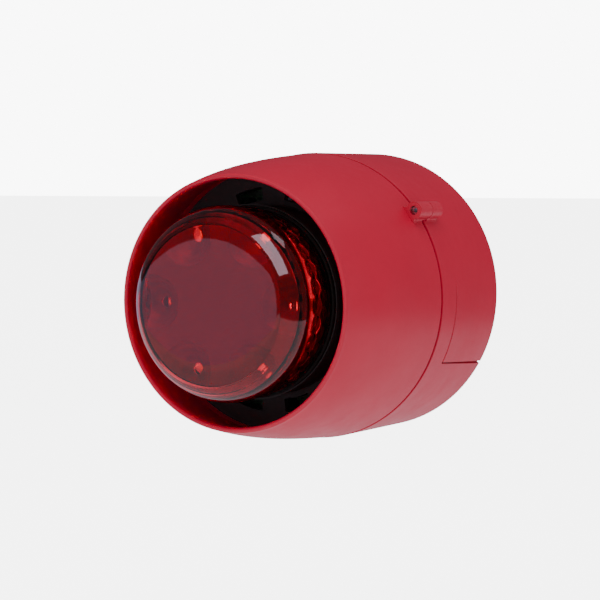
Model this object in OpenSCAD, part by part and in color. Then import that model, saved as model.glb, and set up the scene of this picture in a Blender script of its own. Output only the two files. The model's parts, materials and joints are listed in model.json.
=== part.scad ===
// Wall sounder with a beacon in its horn mouth, on a deep wiring base.
// Local frame: z runs from the wall to the front, y is up, x is to the viewer's right.
// on_wall() turns that into the part's own frame: +Z up, the front faces -Y.

/* [Body] */
// Radius of the deep base
base_r = 46.35; // [45.8:0.05:47]
// Depth of the deep base, from the wall to the seam
base_depth = 41.9; // [40:0.1:45]
// Depth of the sounder head, from the seam to the rim of its mouth
head_depth = 52; // [51.4:0.1:54]
// Wall thickness of the sounder head
head_wall = 2; // [1.7:0.05:2.2]
// Thickness of the base's back wall
floor_t = 2.5; // [2.2:0.1:3]

/* [Beacon] */
// Radius of the lens skirt
lens_r = 30; // [29.5:0.1:30.5]
// How far the lens stands in front of the mouth's rim
lens_proud = 14; // [13:0.1:15]
// Wall thickness of the lens
lens_t = 2; // [1.8:0.05:2.2]
// Number of light sources and reflector cups
cups = 6; // [4:1:6]

/* [Lock] */
// Angle of the locking ear, anticlockwise from the right-hand side
ear_angle = 35.6; // [32:0.1:40]
// Angle between neighbouring bayonet lugs and their way out
twist = 20; // [16:1:22]
// Width of a bayonet lug, in degrees
lug_sweep = 8; // [6:0.5:9]

/* [Wall fixing] */
// Distance between the two wall screws
fixing_span = 60.3; // [58:0.1:62]
// Width of a fixing slot
slot_w = 4.4; // [4:0.1:5]
// Length of a fixing slot
slot_l = 8; // [6:0.1:9]
// Radius of a cable entry
entry_r = 10.25; // [9.5:0.05:10.5]

/* [Wiring] */
// Distance between neighbouring terminals
terminal_pitch = 8; // [7.6:0.1:8.2]
// Distance between neighbouring switch levers
lever_pitch = 2.54; // [2.5:0.01:2.6]

/* [Hidden] */
$fn = 96;

// Clearances
gap = 0.3;          // between pieces that move past each other
run = 0.06;         // radial play of a turning or sliding fit
fit = 0.1;          // between pieces that are fixed together
over = 1;           // how far a cut runs past a face

// The base
base_wall = 2.75;
seam = base_depth + 0.35;
back_edge = 0.8;
front_edge = 0.45;
spigot_out = base_r - 2.95;
spigot_in = spigot_out - 2.5;
spigot_top = seam + 9.8;
band_z = base_depth - 4;
gasket_in = 40.4;
gasket_out = 42.6;
gasket_t = 1;
entry_at = [-14, -18];
plug_at = [14, -18];
plug_flange = 1.6;
plug_lip = 1.7;

// Snap-out cable panel on the lower right of the base
panel_z = 32;
panel_low = -27;
panel_high = 8;
panel_line = 0.55;
panel_slit = 0.7;
panel_slant = 4.2;

// Bayonet
lug_angles = [90, 210, 330];
lug_z = seam + 5;
lug_t = 2;
lug_depth = 1.7;
bore_r = spigot_out + gap;
bore_top = seam + 11.3;

// Seal ring
ring_r = 0.75;
ring_mid = bore_r - 0.05 - ring_r;
ring_z = seam + 1.95;
groove_r = ring_mid - ring_r - 0.05;
groove_w = 1.9;

// Locking ear
ear_r = 2.7;
ear_at = base_r + 1.85;
ear_front = seam + 6.4;
ear_split = seam - 1.9;
ear_back = seam - 9.2;
screw_r = 1.3;
ear_hole_r = screw_r + 0.12;
ear_clear = 0.2;
lock_len = 6.6;
lock_tip = ear_split + 0.4;
lock_hole = 6.6;
lock_travel = 6;

// The head's shell
rim = seam + head_depth;
lip_r = 0.8;
head_base_r = base_r - 0.15;
head_slope = 0.068;
head_curve = 2.3e-5;
shell_rings = 16;
ledge_z = seam + 26.2;
ledge_t = 1.2;
ledge_in = 40.4;
baffle_screw_at = 38.6;
baffle_screw_angles = [60, 180, 300];
boss_r = 2.6;
boss_len = 5.6;

// The baffle in the horn mouth
deck_t = 2.4;
deck_r = ledge_in + 1.2;
deck_z = ledge_z - deck_t;
tube_out = lens_r - 0.4;
tube_in = tube_out - 2.4;
collar_t = 2;
seal_t = 1.4;
lens_back = rim - 10.2;
tube_top = lens_back - seal_t;
port_in = 31.4;
port_out = 35.6;
port_sweep = 16;
post_r = 3;
post_at = 35;
board_post_angles = [90, 210, 330];
cover_post_angles = [30, 150, 270];
pilot_r = 1;
thread_r = 0.98;
head_r = 2.1;
head_t = 1.5;
hole_r = 1.3;

// Sounder
piezo_z = deck_z - 3.1;
seat_in = 17;
seat_out = 19.4;
disc_r = 18.4;
disc_t = 0.3;
ceramic_r = 13;
ceramic_t = 0.25;
cap_r = 20.6;
cap_t = 0.9;
cap_z = deck_z - 6.6;
lead_r = 0.6;
red_at = [8, 0];
black_at = [-15.6, 0];
lead_hole_r = 0.9;

// Main board and what is on it
board_r = 39;
board_t = 1.6;
board_z = deck_z - 10.4;
board_front = board_z + board_t;
cap_can_r = 4;
cap_can_h = 8;
can_at = 29.5;
chip_at = 30;
coil_r = 5;
coil_h = 6;
link_x = -24;
link_pitch = 2.54;
link_pin_r = 0.32;
link_body = [2.5, 7.6, 2.5];
pin_r = 0.9;
pin_at = 24;
pin_angles = [60, 80, 100, 120];
contact_z = base_depth;

// Back cover of the head
cover_z = seam + 6.8;
cover_t = 2;
cover_r = spigot_in - 0.6;

// Setting switches and volume control, reached from the back
switch_size = [17.4, 7.4];
switch_at = [0, -20];
switch_back = cover_z - 0.5;
levers = 6;
lever_size = [1.2, 1.6, 2];
lever_travel = 1.6;
lever_out = 0.7;
volume_at = [24, -13];
volume_r = 4.2;
volume_rotor_r = 2.6;
volume_rotor_t = 1.8;

// Terminals
plate_size = [54, 26, 2];
plate_y = 6;
plate_z = 28;
plate_corner = 4;
pillar_r = 3.5;
pillars = [[-23, 10], [23, 10], [-23, 27], [23, 27]];
block_size = [36, 12, 11];
block_z = plate_z + plate_size[2];
terminals = 4;
pocket = [5.2, 9.5, 6.6];
pocket_z = block_z + 0.9;
cage = [4.6, 7, 4];
cage_wall = 0.8;
cage_bar = 1;
cage_z = pocket_z + 0.3;
cage_travel = 2;
driver_r = 2.5;
term_head_r = 2.2;
term_head_z = pocket_z + pocket[2] + 1;
term_head_t = 2;
term_y = plate_y + 5.5;
strip_t = 0.6;
strip_w = 2.4;

// Beacon
lens_front = rim + lens_proud;
shoulder_z = rim + 3.3;
shoulder_r = 12.8;
shoulder_mid = lens_r - shoulder_r;
shoulder_top = lens_front - 0.2;
dome = 0.5;
tab_in = tube_in - 1.3;
tab_out = tube_in - 0.2;
tab_sweep = 14;
tab_angles = [0, 120, 240];
tab_z = lens_back - 7.5;
hook_h = 1.5;
hook_out = 1.2;
beacon_z = lens_back + 3;
beacon_board_r = tab_in - 0.4;
beacon_post_at = 20.4;
plate_front = shoulder_z + 3;
reflector_t = 1.2;
reflector_r = 26.6;
cup_at = 22.8;
cup_r = 7.4;
cup_small_r = 3.1;
cup_wall = 0.6;
cup_z = beacon_z + board_t + 0.4;
leg_r = 1.5;
leg_at = 22;
light_size = 3.4;
light_t = 0.9;
light_dome_r = 1.5;

// Colours
red = [0.66, 0.09, 0.13];
black = [0.06, 0.06, 0.07];
grey = [0.3, 0.3, 0.32];
rubber = [0.1, 0.1, 0.1];
steel = [0.72, 0.73, 0.75];
brass = [0.8, 0.65, 0.3];
tin = [0.8, 0.8, 0.78];
green = [0.06, 0.3, 0.16];
white = [0.9, 0.9, 0.88];
clear_red = [0.55, 0.02, 0.06, 0.6];

// ---------- helpers ----------

// Outer radius of the sounder head at distance z from the wall
function head_radius(z) =
    head_base_r - head_slope * (z - seam) - head_curve * pow(z - seam, 3);

// Outer radius of the lens shoulder at distance z, for a wall offset
function shoulder(z, offset) =
    shoulder_mid + sqrt(pow(shoulder_r - offset, 2) - pow(z - shoulder_z, 2));

// Distances at n + 1 equal steps from a to b
function steps(a, b, n) = [for (i = [0:n]) a + (b - a) * i / n];

module on_wall() {
    rotate([90, 0, 0])
        children();
}

module rod(r, z0, z1) {
    translate([0, 0, z0])
        cylinder(r = r, h = z1 - z0);
}

module ring(r_out, r_in, z0, z1) {
    difference() {
        rod(r_out, z0, z1);
        rod(r_in, z0 - over, z1 + over);
    }
}

// Part of a ring, starting at an angle and sweeping anticlockwise
module arc_ring(r_out, r_in, z0, z1, from, sweep) {
    rotate([0, 0, from])
        rotate_extrude(angle = sweep)
            translate([r_in, z0])
                square([r_out - r_in, z1 - z0]);
}

module at_polar(angle, radius) {
    rotate([0, 0, angle])
        translate([radius, 0, 0])
            children();
}

module block(size, centre, z0) {
    translate([centre[0] - size[0] / 2, centre[1] - size[1] / 2, z0])
        cube(size);
}

// A screw whose head lies from z to z + dir * head_t, with its shaft going the other way
module screw(z, dir, length, r) {
    rod(r, min(z, z - dir * length), max(z, z - dir * length));
    difference() {
        rod(head_r, min(z, z + dir * head_t), max(z, z + dir * head_t));
        for (turn = [0, 90])
            rotate([0, 0, turn])
                block([2.4, 0.5, 1.6], [0, 0], z + dir * head_t - 0.8);
    }
}

function terminal_x(i) = (i - (terminals + 1) / 2) * terminal_pitch;
function lever_x(i) = switch_at[0] + (i - (levers + 1) / 2) * lever_pitch;

// ---------- deep base ----------

module base_wall_profile() {
    polygon([
        [0, 0],
        [base_r - back_edge, 0],
        [base_r, back_edge],
        [base_r, base_depth - front_edge],
        [base_r - front_edge, base_depth],
        [spigot_out, base_depth],
        [spigot_out, spigot_top - 0.5],
        [spigot_out - 0.5, spigot_top],
        [spigot_in, spigot_top],
        [spigot_in, band_z],
        [base_r - base_wall, band_z - 2.5],
        [base_r - base_wall, floor_t],
        [0, floor_t]
    ]);
}

module bayonet_slots() {
    clear = 1;
    rest_room = 0.8;
    for (a = lug_angles) {
        arc_ring(base_r, spigot_in - over, lug_z - gap, lug_z + lug_t + gap,
            a - lug_sweep / 2 - clear, twist + lug_sweep + 2 * clear + rest_room);
        arc_ring(spigot_out + over, spigot_in - over, lug_z + lug_t / 2, spigot_top + over,
            a + twist - lug_sweep / 2 - clear, lug_sweep + 2 * clear);
    }
}

module seal_groove() {
    ring(spigot_out + over, groove_r, ring_z - groove_w / 2, ring_z + groove_w / 2);
}

module fixing_slots() {
    reach = slot_l / 2 - slot_w / 2;
    for (side = [-1, 1])
        translate([side * fixing_span / 2, 0, 0]) {
            for (end = [-reach, reach])
                translate([end, 0, 0])
                    rod(slot_w / 2, -over, floor_t + over);
            block([2 * reach, slot_w, floor_t + 2 * over], [0, 0], -over);
        }
}

module panel_lines() {
    arc_ring(base_r + over, base_r - panel_line, panel_z - panel_line / 2,
        panel_z + panel_line / 2, panel_low, panel_high - panel_low);
    rotate([0, 0, panel_low])
        translate([base_r - 1, 0, panel_z])
            rotate([-panel_slant, 0, 0])
                translate([0, -panel_slit / 2, -panel_z - 2 * over])
                    cube([2 * over, panel_slit, panel_z + 2 * over]);
}

module deep_base() {
    color(red)
        on_wall()
            difference() {
                union() {
                    rotate_extrude()
                        base_wall_profile();
                    for (p = pillars)
                        translate(p)
                            rod(pillar_r, 0, plate_z);
                    at_polar(ear_angle, ear_at)
                        rod(ear_r, ear_back, ear_split - gap);
                }
                bayonet_slots();
                seal_groove();
                fixing_slots();
                panel_lines();
                ring(gasket_out, gasket_in, -over, gasket_t);
                for (at = [entry_at, plug_at])
                    translate(at)
                        rod(entry_r, -over, floor_t + over);
                for (p = pillars)
                    translate(p)
                        rod(pilot_r, plate_z - 12, plate_z + over);
                at_polar(ear_angle, ear_at)
                    rod(screw_r + run, ear_split - lock_hole, ear_split + over);
            }
}

module wall_gasket() {
    color(rubber)
        on_wall()
            ring(gasket_out - fit, gasket_in + fit, 0, gasket_t - fit / 2);
}

module blanking_plug() {
    color(rubber)
        on_wall()
            translate(plug_at)
                difference() {
                    union() {
                        rod(entry_r - fit, 0.4, floor_t + fit);
                        rod(entry_r + plug_lip, floor_t, floor_t + plug_flange);
                    }
                    rod(entry_r - 2, -over, floor_t);
                    rod(entry_r - 4, floor_t + 1, floor_t + plug_flange + over);
                }
}

// ---------- terminals ----------

module plate_outline() {
    inset = plate_corner;
    w = plate_size[0] / 2 - inset;
    for (x = [-w, w])
        for (y = [plate_y + inset, plate_y + plate_size[1] - inset])
            translate([x, y, 0])
                rod(plate_corner, plate_z, block_z);
    block([plate_size[0], plate_size[1] - 2 * inset, plate_size[2]],
        [0, plate_y + plate_size[1] / 2], plate_z);
    block([2 * w, plate_size[1], plate_size[2]],
        [0, plate_y + plate_size[1] / 2], plate_z);
}

module contact_plate() {
    color(grey)
        on_wall()
            difference() {
                plate_outline();
                for (p = pillars)
                    translate(p)
                        rod(hole_r, plate_z - over, block_z + over);
            }
}

module plate_screws() {
    color(steel)
        on_wall()
            for (p = pillars)
                translate(p)
                    screw(block_z, 1, 9, thread_r);
}

module terminal_block() {
    color(grey)
        on_wall()
            difference() {
                block(block_size, [0, plate_y + block_size[1] / 2], block_z);
                for (i = [1:terminals])
                    translate([terminal_x(i), 0, 0]) {
                        translate([-pocket[0] / 2, plate_y - over, pocket_z])
                            cube([pocket[0], pocket[1] + over, pocket[2]]);
                        translate([0, term_y, 0]) {
                            rod(screw_r + 0.15, pocket_z, block_z + block_size[2] + over);
                            rod(driver_r, term_head_z - 0.2, block_z + block_size[2] + over);
                        }
                    }
            }
}

module terminal_screw(i) {
    tip = cage_z + cage_travel + cage_bar + 0.2;
    color(steel)
        on_wall()
            translate([terminal_x(i), term_y, 0])
                difference() {
                    union() {
                        rod(screw_r, tip, term_head_z + fit);
                        rod(term_head_r, term_head_z, term_head_z + term_head_t);
                    }
                    block([2 * term_head_r + over, 0.7, 1.8], [0, 0], term_head_z + 1);
                }
}

module terminal_clamp(i) {
    color(brass)
        on_wall()
            translate([terminal_x(i), term_y, 0])
                difference() {
                    block(cage, [0, 0], cage_z);
                    block([cage[0] - 2 * cage_wall, cage[1] + over, cage[2] - 2 * cage_bar],
                        [0, 0], cage_z + cage_bar);
                    rod(screw_r + run, cage_z + cage_bar + fit, cage_z + cage[2] + over);
                }
}

// A sprung strip from each terminal to the place under the head's pin
module base_contacts() {
    start_y = plate_y + block_size[1] + fit;
    color(brass)
        on_wall()
            for (i = [1:terminals]) {
                a = pin_angles[terminals - i];
                end = [pin_at * cos(a), pin_at * sin(a)];
                run_y = end[1] - start_y;
                lean = atan2(end[0] - terminal_x(i), run_y);
                length = norm([end[0] - terminal_x(i), run_y]);
                translate([terminal_x(i), start_y, block_z + fit])
                    rotate([0, 0, -lean])
                        translate([-strip_w / 2, 0.6, 0])
                            cube([strip_w, length - 0.6, strip_t]);
                translate([end[0], end[1], 0])
                    rod(strip_w / 2, block_z + fit, contact_z);
            }
}

// ---------- seal ----------

module o_ring() {
    color(rubber)
        on_wall()
            rotate_extrude()
                translate([ring_mid, ring_z])
                    circle(r = ring_r, $fn = 32);
}

// ---------- sounder head ----------

module shell_profile() {
    lip_out = head_radius(rim - lip_r);
    lip_in = lip_out - 2 * lip_r;
    polygon(concat(
        [[bore_r, seam + 0.35], [head_radius(seam + 0.35) - front_edge, seam + 0.35]],
        [for (z = steps(seam + 0.35 + front_edge, rim - lip_r, shell_rings)) [head_radius(z), z]],
        [for (a = steps(15, 165, 10))
            [(lip_out + lip_in) / 2 + lip_r * cos(a), rim - lip_r + lip_r * sin(a)]],
        [for (z = steps(rim - lip_r - 1.5, ledge_z + ledge_t + 1.2, shell_rings))
            [head_radius(z) - head_wall, z]],
        [[ledge_in, ledge_z + ledge_t], [ledge_in, ledge_z]],
        [for (z = steps(ledge_z, bore_top, 4)) [head_radius(z) - head_wall, z]],
        [[bore_r, bore_top - 1]]
    ));
}

module sounder_shell() {
    color(red)
        on_wall()
            difference() {
                union() {
                    rotate_extrude()
                        shell_profile();
                    for (a = lug_angles)
                        arc_ring(bore_r + 0.6, bore_r - lug_depth, lug_z, lug_z + lug_t,
                            a - lug_sweep / 2, lug_sweep);
                    for (a = baffle_screw_angles)
                        at_polar(a, baffle_screw_at)
                            rod(boss_r, ledge_z, ledge_z + boss_len);
                    difference() {
                        at_polar(ear_angle, ear_at)
                            rod(ear_r, ear_split, ear_front);
                        rod(bore_r + 1, seam, ear_front + over);
                        rod(base_r + ear_clear, ear_split - over, seam + 0.35);
                    }
                }
                for (a = baffle_screw_angles)
                    at_polar(a, baffle_screw_at)
                        rod(pilot_r, ledge_z - over, ledge_z + boss_len - 1);
                at_polar(ear_angle, ear_at)
                    rod(ear_hole_r, ear_split - over, ear_front + over);
            }
}

module back_posts(angles, z_end) {
    for (a = angles)
        at_polar(a, post_at)
            difference() {
                rod(post_r, z_end, deck_z + fit);
                rod(pilot_r, z_end - over, z_end + 8);
            }
}

module horn_baffle() {
    color(black)
        on_wall() {
            difference() {
                union() {
                    rod(deck_r, deck_z, ledge_z);
                    ring(tube_out, tube_in, ledge_z - fit, tube_top);
                    ring(lens_r + 0.2, tube_in, tube_top - collar_t, tube_top);
                }
                for (i = [0:11])
                    arc_ring(port_out, port_in, deck_z - over, ledge_z + over,
                        15 + 30 * i - port_sweep / 2, port_sweep);
                for (a = baffle_screw_angles)
                    at_polar(a, baffle_screw_at)
                        rod(hole_r, deck_z - over, ledge_z + over);
                for (a = tab_angles)
                    arc_ring(tube_out + over, tube_in - over, tab_z - gap, tab_z + hook_h + gap,
                        a - tab_sweep / 2 - 1, tab_sweep + 2);
                block([3.6, 9.2, deck_t + 2 * over], [link_x, 0], deck_z - over);
            }
            back_posts(board_post_angles, board_front);
            back_posts(cover_post_angles, cover_z + cover_t);
        }
}

module beacon_standoffs() {
    color(tin)
        on_wall()
            for (a = cover_post_angles)
                at_polar(a, beacon_post_at)
                    difference() {
                        rod(post_r - 0.5, ledge_z, beacon_z);
                        rod(pilot_r, beacon_z - 8, beacon_z + over);
                    }
}

module baffle_screws() {
    color(steel)
        on_wall()
            for (a = baffle_screw_angles)
                at_polar(a, baffle_screw_at)
                    screw(deck_z, -1, 6, thread_r);
}

// ---------- sounder element ----------

module piezo_seat() {
    color(grey)
        on_wall()
            difference() {
                ring(seat_out, seat_in, piezo_z, deck_z);
                for (a = [0, 60, 120])
                    rotate([0, 0, a])
                        block([2 * seat_out + over, 5, 1.6], [0, 0], deck_z - 1.6 + 0.01);
            }
}

module piezo_disc() {
    color(brass)
        on_wall()
            rod(disc_r, piezo_z - disc_t, piezo_z);
}

module piezo_ceramic() {
    color(white)
        on_wall()
            rod(ceramic_r, piezo_z - disc_t - ceramic_t, piezo_z - disc_t);
}

module piezo_cap() {
    color(grey)
        on_wall()
            difference() {
                rod(cap_r, cap_z, deck_z);
                rod(cap_r - cap_t, cap_z + 1, deck_z + over);
                for (at = [red_at, black_at])
                    translate(at)
                        rod(lead_hole_r, cap_z - over, cap_z + 1 + over);
                for (a = [0, 60, 120])
                    rotate([0, 0, a])
                        block([2 * cap_r + over, 6, 3], [0, 0], deck_z - 1.8);
            }
}

module piezo_lead_red() {
    color("red")
        on_wall()
            translate(red_at)
                rod(lead_r, board_front, piezo_z - disc_t - ceramic_t);
}

module piezo_lead_black() {
    color(black)
        on_wall()
            translate(black_at)
                rod(lead_r, board_front, piezo_z - disc_t);
}

// ---------- main board ----------

module main_board() {
    color(green)
        on_wall()
            difference() {
                rod(board_r, board_z, board_front);
                for (a = board_post_angles)
                    at_polar(a, post_at)
                        rod(hole_r, board_z - over, board_front + over);
                for (a = cover_post_angles)
                    at_polar(a, post_at)
                        rod(post_r + gap, board_z - over, board_front + over);
            }
}

module board_screws() {
    color(steel)
        on_wall() {
            for (a = board_post_angles)
                at_polar(a, post_at)
                    screw(board_z, -1, 6, thread_r);
            for (a = cover_post_angles)
                at_polar(a, beacon_post_at)
                    screw(beacon_z + board_t, 1, 6, thread_r);
        }
}

module capacitors() {
    color(black)
        on_wall()
            for (a = [0, 300])
                at_polar(a, can_at)
                    difference() {
                        rod(cap_can_r, board_front, board_front + cap_can_h);
                        ring(cap_can_r + over, cap_can_r - 0.35,
                            board_front + 1.2, board_front + 1.9);
                    }
}

module inductor() {
    flange = 1.1;
    color(grey)
        on_wall()
            at_polar(60, chip_at) {
                rod(coil_r, board_front, board_front + flange);
                rod(coil_r - 1, board_front + flange - fit, board_front + coil_h - flange + fit);
                rod(coil_r, board_front + coil_h - flange, board_front + coil_h);
            }
}

module chip(size, legs, leg_pitch) {
    leg = [1.1, 0.45, 0.25];
    block([size[0], size[1], size[2]], [0, 0], board_front + 0.15);
    for (side = [-1, 1])
        for (i = [0:legs - 1])
            block(leg, [side * (size[0] + leg[0] - 0.2) / 2, (i - (legs - 1) / 2) * leg_pitch],
                board_front);
}

module controller_chip() {
    color(black)
        on_wall()
            at_polar(120, chip_at)
                chip([8, 9, 1.5], 10, 0.8);
}

module driver_chip() {
    color(black)
        on_wall()
            at_polar(240, chip_at)
                chip([5, 5.2, 1.5], 4, 1.27);
}

module link_header() {
    color(black)
        on_wall() {
            block(link_body, [link_x, 0], board_front);
            for (i = [-1:1])
                translate([link_x, i * link_pitch, 0])
                    rod(link_pin_r, board_front + 1, beacon_z);
        }
}

module head_contacts() {
    color(tin)
        on_wall()
            for (a = pin_angles)
                at_polar(a, pin_at)
                    rod(pin_r, contact_z + gap, board_z);
}

module switch_body() {
    color("red")
        on_wall()
            difference() {
                block([switch_size[0], switch_size[1], board_z - switch_back],
                    switch_at, switch_back);
                for (i = [1:levers])
                    translate([lever_x(i), switch_at[1], 0])
                        block([lever_size[0] + 0.3, lever_size[1] + lever_travel + 0.6, 3.6],
                            [0, 0], switch_back - 2);
            }
}

module switch_lever(i) {
    color(white)
        on_wall()
            block(lever_size, [lever_x(i), switch_at[1] - lever_travel / 2],
                switch_back - lever_out);
}

module volume_body() {
    color(grey)
        on_wall()
            translate(volume_at)
                difference() {
                    rod(volume_r, switch_back, board_z);
                    rod(volume_rotor_r + run, switch_back - over, switch_back + volume_rotor_t + 0.2);
                }
}

module volume_rotor() {
    color(white)
        on_wall()
            translate(volume_at)
                difference() {
                    rod(volume_rotor_r, switch_back - 0.1, switch_back + volume_rotor_t);
                    block([3.6, 0.8, 2], [0, 0], switch_back - 1.2);
                    block([2, 0.8, 2], [0.8, 0], switch_back - 1);
                }
}

module rear_cover() {
    color(black)
        on_wall()
            difference() {
                union() {
                    rod(cover_r, cover_z, cover_z + cover_t);
                    ring(cover_r, cover_r - 1.2, cover_z, cover_z + 3.5);
                }
                block([switch_size[0] + 0.4, switch_size[1] + 0.4, cover_t + 2 * over],
                    switch_at, cover_z - over);
                translate(volume_at)
                    rod(volume_r + 0.2, cover_z - over, cover_z + cover_t + over);
                for (a = pin_angles)
                    at_polar(a, pin_at)
                        rod(pin_r + 0.3, cover_z - over, cover_z + cover_t + over);
                for (a = cover_post_angles)
                    at_polar(a, post_at)
                        rod(hole_r, cover_z - over, cover_z + cover_t + over);
            }
}

module cover_screws() {
    color(steel)
        on_wall()
            for (a = cover_post_angles)
                at_polar(a, post_at)
                    screw(cover_z, -1, 7, thread_r);
}

// ---------- beacon ----------

module beacon_board() {
    color(green)
        on_wall()
            difference() {
                rod(beacon_board_r, beacon_z, beacon_z + board_t);
                for (a = cover_post_angles)
                    at_polar(a, beacon_post_at)
                        rod(hole_r, beacon_z - over, beacon_z + board_t + over);
                for (a = board_post_angles)
                    at_polar(a, leg_at)
                        rod(leg_r + fit, beacon_z - over, beacon_z + board_t + over);
            }
}

module beacon_lights() {
    top = beacon_z + board_t;
    color(white)
        on_wall()
            for (i = [0:cups - 1])
                at_polar(i * 360 / cups, cup_at) {
                    block([light_size, light_size, light_t], [0, 0], top);
                    rod(light_dome_r, top + light_t - fit, top + light_t + 0.7);
                }
}

module cup(extra, z0, z1) {
    translate([0, 0, z0])
        cylinder(r1 = cup_small_r + extra, r2 = cup_r + extra, h = z1 - z0);
}

module reflector() {
    plate_back = plate_front - reflector_t;
    color(grey)
        on_wall()
            difference() {
                union() {
                    rod(reflector_r, plate_back, plate_front);
                    intersection() {
                        for (i = [0:cups - 1])
                            at_polar(i * 360 / cups, cup_at)
                                cup(cup_wall, cup_z, plate_front);
                        rod(reflector_r, cup_z - over, plate_front);
                    }
                    for (a = board_post_angles)
                        at_polar(a, leg_at)
                            rod(leg_r, beacon_z - 1, plate_front);
                }
                for (i = [0:cups - 1])
                    at_polar(i * 360 / cups, cup_at)
                        cup(0, cup_z - 0.01, plate_front + 0.01);
            }
}

module lens_profile() {
    inner_top = lens_front - lens_t - 0.2;
    polygon(concat(
        [[lens_r - lens_t, lens_back], [lens_r, lens_back]],
        [for (z = steps(shoulder_z, shoulder_top, 12)) [shoulder(z, 0), z]],
        [for (i = [4:-1:0]) let (r = (shoulder(shoulder_top, 0) - 0.3) * i / 4)
            [r, lens_front + dome * (1 - pow(i / 4, 2))]],
        [[0, inner_top]],
        [for (z = steps(inner_top, shoulder_z, 12)) [shoulder(z, lens_t), z]]
    ));
}

module lens() {
    color(clear_red)
        on_wall() {
            rotate_extrude()
                lens_profile();
            for (a = tab_angles) {
                arc_ring(lens_r - lens_t + 0.5, tab_in, lens_back, lens_back + 1.8,
                    a - tab_sweep / 2, tab_sweep);
                arc_ring(tab_out, tab_in, tab_z, lens_back + 0.5,
                    a - tab_sweep / 2, tab_sweep);
                arc_ring(tab_out + hook_out, tab_in, tab_z, tab_z + hook_h,
                    a - tab_sweep / 2, tab_sweep);
            }
        }
}

module lens_seal() {
    color(rubber)
        on_wall()
            ring(lens_r - 0.1, tube_in + 0.1, tube_top, lens_back);
}

// ---------- lock ----------

module locking_screw() {
    socket_r = 0.75;
    color(steel)
        on_wall()
            at_polar(ear_angle, ear_at)
                difference() {
                    rod(screw_r, lock_tip, lock_tip + lock_len);
                    translate([0, 0, lock_tip + lock_len - 1.4])
                        cylinder(r = socket_r, h = 2, $fn = 6);
                }
}

deep_base();
wall_gasket();
blanking_plug();
contact_plate();
plate_screws();
terminal_block();
base_contacts();
terminal_screw(1);  // terminal_screw_1
terminal_screw(2);  // terminal_screw_2
terminal_screw(3);  // terminal_screw_3
terminal_screw(4);  // terminal_screw_4
terminal_clamp(1);  // terminal_clamp_1
terminal_clamp(2);  // terminal_clamp_2
terminal_clamp(3);  // terminal_clamp_3
terminal_clamp(4);  // terminal_clamp_4
o_ring();
sounder_shell();
horn_baffle();
baffle_screws();
piezo_seat();
piezo_disc();
piezo_ceramic();
piezo_cap();
piezo_lead_red();
piezo_lead_black();
main_board();
board_screws();
capacitors();
inductor();
controller_chip();
driver_chip();
link_header();
head_contacts();
switch_body();
switch_lever(1);  // switch_lever_1
switch_lever(2);  // switch_lever_2
switch_lever(3);  // switch_lever_3
switch_lever(4);  // switch_lever_4
switch_lever(5);  // switch_lever_5
switch_lever(6);  // switch_lever_6
volume_body();
volume_rotor();
rear_cover();
cover_screws();
beacon_board();
beacon_standoffs();
beacon_lights();
reflector();
lens();
lens_seal();
locking_screw();
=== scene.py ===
# %% [markdown]
# # A wall sounder with a red beacon
#
# The imported model is the fixed frame: every piece made here goes where that model says.
# Loading it first gives the bodies that move and the nodes.

# %% Load the frame
import json
import math

import bmesh
import bpy
from mathutils import Matrix, Vector

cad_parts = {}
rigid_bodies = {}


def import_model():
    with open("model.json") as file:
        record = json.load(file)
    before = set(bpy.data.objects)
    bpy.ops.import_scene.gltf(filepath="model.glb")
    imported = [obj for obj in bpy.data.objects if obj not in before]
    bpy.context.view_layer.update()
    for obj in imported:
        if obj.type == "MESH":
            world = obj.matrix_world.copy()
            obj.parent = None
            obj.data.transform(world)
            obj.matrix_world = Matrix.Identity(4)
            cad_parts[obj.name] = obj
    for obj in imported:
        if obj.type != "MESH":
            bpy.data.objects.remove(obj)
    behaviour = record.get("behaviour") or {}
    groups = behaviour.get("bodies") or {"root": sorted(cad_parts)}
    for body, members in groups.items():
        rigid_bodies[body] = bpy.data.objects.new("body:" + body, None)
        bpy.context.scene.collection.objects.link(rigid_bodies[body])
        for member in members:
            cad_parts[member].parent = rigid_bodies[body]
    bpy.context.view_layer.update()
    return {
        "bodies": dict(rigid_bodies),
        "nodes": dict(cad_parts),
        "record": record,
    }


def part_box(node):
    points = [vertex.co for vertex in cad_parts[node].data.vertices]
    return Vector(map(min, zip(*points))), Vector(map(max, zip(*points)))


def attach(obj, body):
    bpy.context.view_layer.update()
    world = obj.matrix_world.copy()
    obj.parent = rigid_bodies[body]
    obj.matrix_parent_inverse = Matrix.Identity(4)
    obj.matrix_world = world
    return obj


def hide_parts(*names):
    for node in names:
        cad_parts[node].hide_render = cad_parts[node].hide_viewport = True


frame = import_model()
nodes = frame["nodes"]
MM = 0.001

# %% [markdown]
# ## The camera
#
# A long lens a good way off flattens the object, as a catalogue picture does. The camera looks
# at a point half-way along the object from the front right and a little above. A small shift
# frames the object without turning the camera.

# %% Camera
LENS_MM = 132
CAMERA_AZIMUTH = math.radians(29.02)
CAMERA_ELEVATION = math.radians(3.10)
CAMERA_DISTANCE = 0.7078
AIM = Vector((0, -0.050, 0))


def direction(azimuth, elevation):
    """A unit vector from the object towards a viewer; azimuth 0 is straight in front."""
    flat = math.cos(elevation)
    return Vector((math.sin(azimuth) * flat, -math.cos(azimuth) * flat, math.sin(elevation)))


to_camera = direction(CAMERA_AZIMUTH, CAMERA_ELEVATION)
camera_data = bpy.data.cameras.new("camera")
camera_data.lens = LENS_MM
camera_data.sensor_width = 36
camera_data.shift_x = -0.0036
camera_data.shift_y = -0.0054
camera_data.clip_start = 0.01
camera = bpy.data.objects.new("camera", camera_data)
camera.location = AIM + to_camera * CAMERA_DISTANCE
camera.rotation_mode = "QUATERNION"
camera.rotation_quaternion = (-to_camera).to_track_quat("-Z", "Y")
bpy.context.collection.objects.link(camera)
bpy.context.scene.camera = camera
print("camera at", [round(c, 3) for c in camera.location])

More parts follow.
